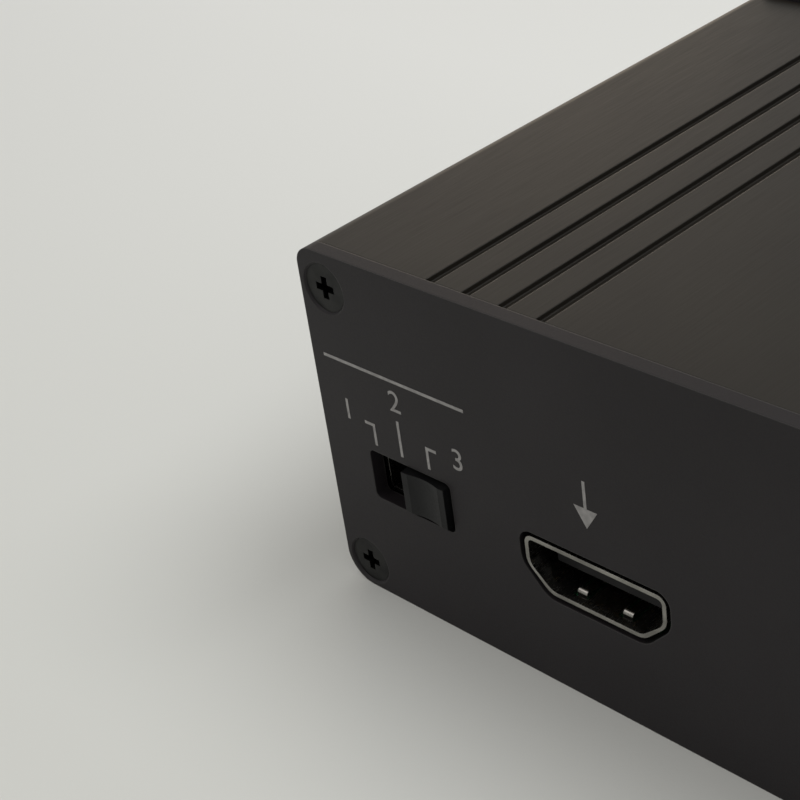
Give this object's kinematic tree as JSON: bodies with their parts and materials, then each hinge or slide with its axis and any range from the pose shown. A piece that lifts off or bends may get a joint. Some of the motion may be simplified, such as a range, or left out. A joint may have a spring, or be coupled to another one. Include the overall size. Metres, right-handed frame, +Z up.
{
  "type": "hdmi audio extractor",
  "caption": "Small black aluminium box that splits sound from a video signal: grooved housing, end plates, path slide switch, video, optical, audio and power ports, board inside.",
  "frame": {"origin": "centre of the housing's underside, where the box rests", "axes": "+X to the right as the front panel is read, along the longest side; the front panel faces -Y; +Z up"},
  "size_m": [0.0892, 0.0781, 0.0368],
  "materials": {
    "black_anodised_aluminium": "satin black anodised, finely brushed",
    "black_screw_steel": "black oxide, slightly glossy",
    "green_solder_mask": "semi-gloss green lacquer on glass fibre",
    "plated_steel": "dull nickel plate",
    "bright_nickel": "bright nickel plate",
    "gold_plated_copper": "bright gold flash",
    "tinned_copper": "bright tin",
    "black_moulding": "fine matte moulding",
    "white_moulding": "gloss moulding",
    "red_moulding": "gloss moulding",
    "chip_resin": "matte moulded resin",
    "bare_aluminium": "bright drawn cans",
    "ferrite": "matte pressed powder",
    "tan_ceramic": "fired ceramic",
    "lamp_resin": "clear tinted lens"
  },
  "bodies": {
    "case": {"housing": "black_anodised_aluminium", "front_panel": "black_anodised_aluminium", "rear_panel": "black_anodised_aluminium", "front_panel_screws": "black_screw_steel", "rear_panel_screws": "black_screw_steel", "main_board": "green_solder_mask", "path_switch_frame": "plated_steel", "path_switch_base": "black_moulding", "path_switch_terminals": "tinned_copper", "input_port_shell": "plated_steel", "input_port_tongue": "black_moulding", "input_port_contacts": "gold_plated_copper", "output_port_shell": "plated_steel", "output_port_tongue": "black_moulding", "output_port_contacts": "gold_plated_copper", "optical_port_housing": "black_moulding", "optical_port_hinge_pin": "plated_steel", "optical_port_emitter": "chip_resin", "optical_port_leads": "tinned_copper", "audio_socket_block": "black_moulding", "audio_socket_sleeves": "bright_nickel", "left_audio_insert": "white_moulding", "right_audio_insert": "red_moulding", "audio_socket_centre_contacts": "bright_nickel", "audio_socket_ground_tails": "tinned_copper", "power_inlet_body": "black_moulding", "power_inlet_pin": "bright_nickel", "power_inlet_spring_contact": "tinned_copper", "power_lamp_lens": "lamp_resin", "power_lamp_leads": "tinned_copper", "video_processor": "chip_resin", "video_processor_pins": "tinned_copper", "audio_processor": "chip_resin", "audio_processor_pins": "tinned_copper", "memory_chips": "chip_resin", "memory_chip_pins": "tinned_copper", "audio_converter": "chip_resin", "audio_converter_pins": "tinned_copper", "power_inductor": "ferrite", "regulators": "chip_resin", "regulator_tabs": "tinned_copper", "capacitor_bases": "black_moulding", "electrolytic_capacitors": "bare_aluminium", "input_diode": "chip_resin", "input_fuse": "tan_ceramic", "clock_crystals": "plated_steel", "ceramic_capacitors": "tan_ceramic", "resistors": "chip_resin", "programming_header_base": "black_moulding", "programming_header_pins": "gold_plated_copper"},
    "switch_slider": {"path_switch_knob": "black_moulding", "path_switch_wipers": "gold_plated_copper"},
    "optical_shutter": {"optical_port_shutter": "black_moulding", "optical_port_shutter_spring": "plated_steel"}
  },
  "joints": [
    {"name": "path_switch_slide", "type": "slide", "parent": "case", "child": "switch_slider", "axis": [1, 0, 0], "range_m": [-0.004, 0]},
    {"name": "optical_shutter_hinge", "type": "hinge", "parent": "case", "child": "optical_shutter", "pos_m": [-0.002, 0.0321, 0.0193], "axis": [-1, 0, 0], "range_deg": [0, 80], "stiffness_Nm_per_rad": 0.00002, "springref_deg": -5.73}
  ]
}
